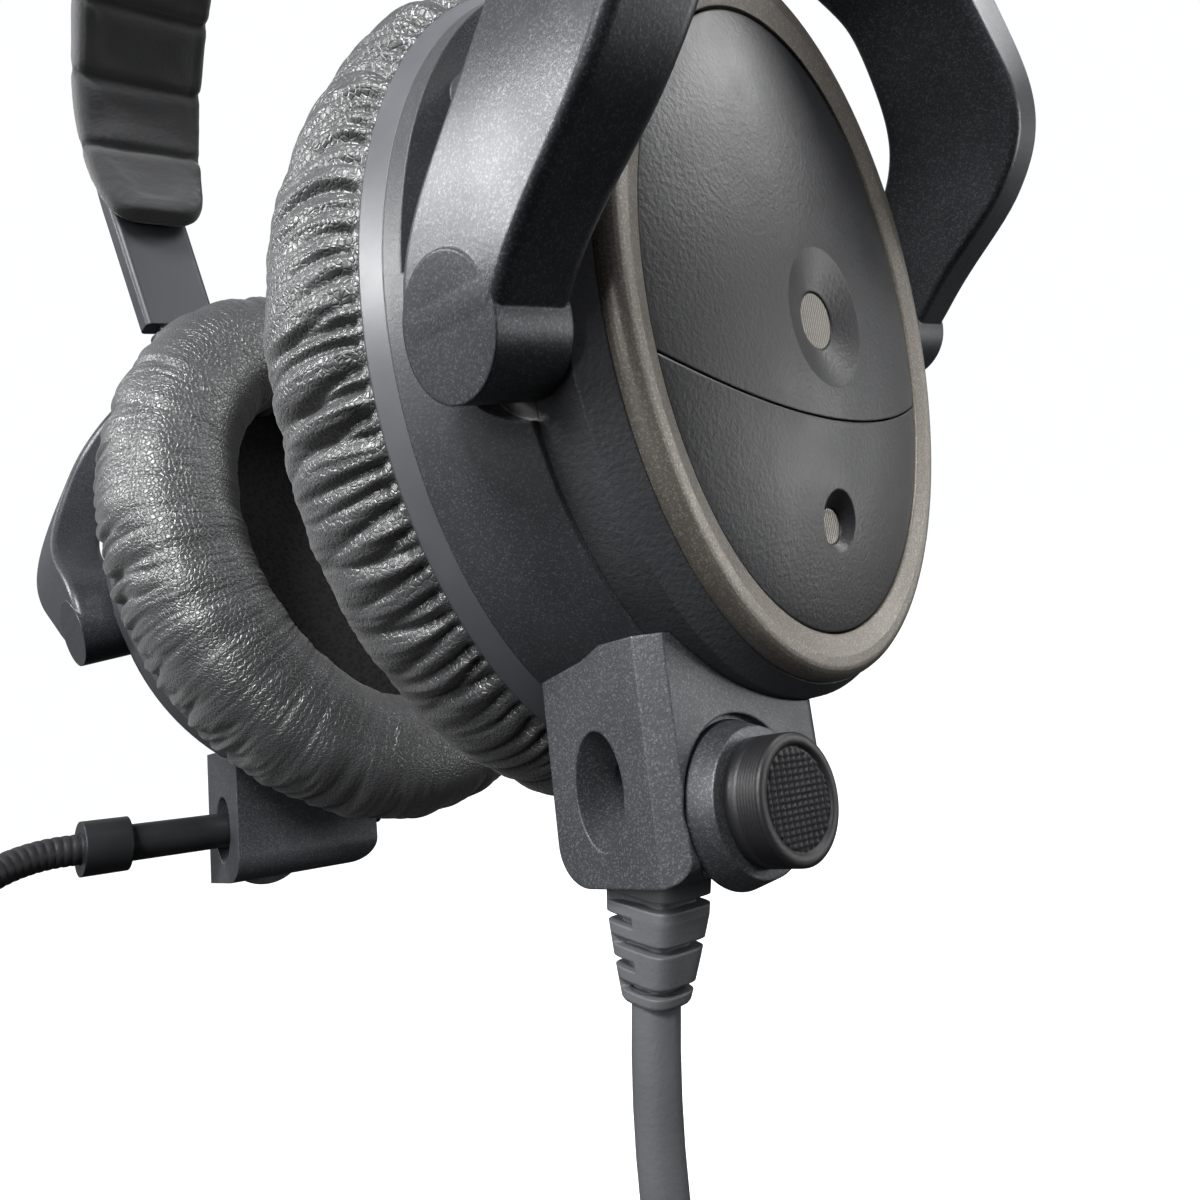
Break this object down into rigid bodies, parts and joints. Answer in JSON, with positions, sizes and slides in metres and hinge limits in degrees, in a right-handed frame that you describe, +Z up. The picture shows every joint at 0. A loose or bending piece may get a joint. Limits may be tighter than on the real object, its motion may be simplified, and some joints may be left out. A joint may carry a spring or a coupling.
{
  "type": "aviation headset",
  "caption": "Over-ear aviation headset with oval ear cups in yokes, a sprung hinged headband, a clamped boom microphone and a tied cord with a panel plug.",
  "frame": {"origin": "middle of the crown pad's underside, where the headset rests on the head", "axes": "+Z up, the wearer faces -Y, +X is the wearer's left"},
  "size_m": [0.1874, 0.1561, 0.409],
  "materials": {
    "shell": "fine speckled satin",
    "bezel": "coarse grained satin",
    "bronze": "taupe metallic satin",
    "panel": "fine texture, matt",
    "mesh": "fine ribbed",
    "flange": "smooth satin",
    "inner_plastic": "matt",
    "board": "satin",
    "leather": "soft, finely wrinkled",
    "cloth": "open mesh",
    "steel": "satin",
    "module": "speckled satin",
    "ring_metal": "satin",
    "knob": "satin, ribbed",
    "band": "satin",
    "pad_cloth": "soft, quilted",
    "yoke": "fine speckled satin",
    "housing": "satin",
    "steel_rod": "satin",
    "gooseneck": "matt",
    "foam": "open-cell foam",
    "cord_rubber": "matt",
    "cord": "satin",
    "tie": "matt",
    "plug": "satin",
    "plug_metal": "satin"
  },
  "bodies": {
    "headband": {"hinge_housing": "housing", "top_cover": "housing", "cover_screws": "steel", "hinge_pins": "steel", "torsion_springs": "steel", "crown_pad": "pad_cloth"},
    "left_arm": {"left_side_band": "band", "left_band_pad": "pad_cloth"},
    "left_slider": {"left_slider_stem": "steel"},
    "left_fork": {"left_yoke": "yoke", "left_yoke_pins": "steel"},
    "left_cup": {"left_ear_shell": "shell", "left_outer_bezel": "bezel", "left_trim_ring": "bronze", "left_upper_panel": "panel", "left_lower_panel": "panel", "left_port_meshes": "mesh", "left_baffle": "flange", "left_speaker_driver": "inner_plastic", "left_circuit_board": "board", "left_ear_cushion": "leather", "left_ear_screen": "cloth", "left_cup_screws": "steel", "left_boom_module": "module", "left_knob_ring": "ring_metal", "strain_relief": "cord_rubber", "cord_lead": "cord", "cord_coil": "cord", "cord_tail": "cord", "cable_tie": "tie", "plug_body": "plug", "plug_pins": "plug_metal"},
    "left_knob": {"left_clamp_knob": "knob"},
    "left_shoe": {"left_clamp_shoe": "inner_plastic"},
    "right_arm": {"right_side_band": "band", "right_band_pad": "pad_cloth"},
    "right_slider": {"right_slider_stem": "steel"},
    "right_fork": {"right_yoke": "yoke", "right_yoke_pins": "steel"},
    "right_cup": {"right_ear_shell": "shell", "right_outer_bezel": "bezel", "right_trim_ring": "bronze", "right_upper_panel": "panel", "right_lower_panel": "panel", "right_port_meshes": "mesh", "right_baffle": "flange", "right_speaker_driver": "inner_plastic", "right_circuit_board": "board", "right_ear_cushion": "leather", "right_ear_screen": "cloth", "right_cup_screws": "steel", "right_boom_module": "module", "right_knob_ring": "ring_metal"},
    "right_knob": {"right_clamp_knob": "knob"},
    "right_shoe": {"right_clamp_shoe": "inner_plastic"},
    "boom": {"boom_arm": "steel_rod"},
    "mic_neck": {"gooseneck": "gooseneck"},
    "mic": {"mic_housing": "inner_plastic", "windscreen": "foam"},
    "lock_sleeve": {"plug_sleeve": "plug_metal"}
  },
  "joints": [
    {"name": "left_band_hinge", "type": "hinge", "parent": "headband", "child": "left_arm", "pos_m": [0.012, 0, 0.016], "axis": [0, -1, 0], "range_deg": [0, 14], "stiffness_Nm_per_rad": 2, "springref_deg": -8.59},
    {"name": "left_height_slide", "type": "slide", "parent": "left_arm", "child": "left_slider", "axis": [0, 0, -1], "range_m": [0, 0.018]},
    {"name": "left_yoke_swivel", "type": "hinge", "parent": "left_slider", "child": "left_fork", "pos_m": [0.079, 0, -0.07], "axis": [0, 0, 1], "range_deg": [-10, 10]},
    {"name": "left_cup_tilt", "type": "hinge", "parent": "left_fork", "child": "left_cup", "pos_m": [0.06538, 0, -0.12884], "axis": [0, 1, 0], "range_deg": [-10, 10]},
    {"name": "left_clamp_turn", "type": "hinge", "parent": "left_cup", "child": "left_knob", "pos_m": [0.0653, -0.02256, -0.17822], "axis": [1, 0, 0], "range_deg": [0, 360]},
    {"name": "left_clamp_press", "type": "slide", "parent": "left_cup", "child": "left_shoe", "axis": [-1, 0, 0], "range_m": [0, 0.001]},
    {"name": "right_band_hinge", "type": "hinge", "parent": "headband", "child": "right_arm", "pos_m": [-0.012, 0, 0.016], "axis": [0, 1, 0], "range_deg": [0, 14], "stiffness_Nm_per_rad": 2, "springref_deg": -8.59},
    {"name": "right_height_slide", "type": "slide", "parent": "right_arm", "child": "right_slider", "axis": [0, 0, -1], "range_m": [0, 0.018]},
    {"name": "right_yoke_swivel", "type": "hinge", "parent": "right_slider", "child": "right_fork", "pos_m": [-0.079, 0, -0.07], "axis": [0, 0, 1], "range_deg": [-10, 10]},
    {"name": "right_cup_tilt", "type": "hinge", "parent": "right_fork", "child": "right_cup", "pos_m": [-0.06538, 0, -0.12884], "axis": [0, 1, 0], "range_deg": [-10, 10]},
    {"name": "right_clamp_turn", "type": "hinge", "parent": "right_cup", "child": "right_knob", "pos_m": [-0.0653, -0.02256, -0.17822], "axis": [-1, 0, 0], "range_deg": [0, 360]},
    {"name": "right_clamp_press", "type": "slide", "parent": "right_cup", "child": "right_shoe", "axis": [1, 0, 0], "range_m": [0, 0.001]},
    {"name": "boom_slide", "type": "slide", "parent": "right_cup", "child": "boom", "axis": [0, -0.9659, 0.2588], "range_m": [-0.005, 0.008]},
    {"name": "boom_roll", "type": "hinge", "parent": "boom", "child": "mic_neck", "pos_m": [-0.0533, -0.05202, -0.16722], "axis": [0, -0.9659, 0.2588], "range_deg": [-60, 60]},
    {"name": "mic_turn", "type": "hinge", "parent": "mic_neck", "child": "mic", "pos_m": [-0.0233, -0.0988, -0.17954], "axis": [0.7581, -0.5035, -0.4145], "range_deg": [-90, 90]},
    {"name": "sleeve_pull", "type": "slide", "parent": "left_cup", "child": "lock_sleeve", "axis": [0, 0, 1], "range_m": [0, 0.0018], "stiffness_N_per_m": 300, "springref_m": -0.001}
  ]
}
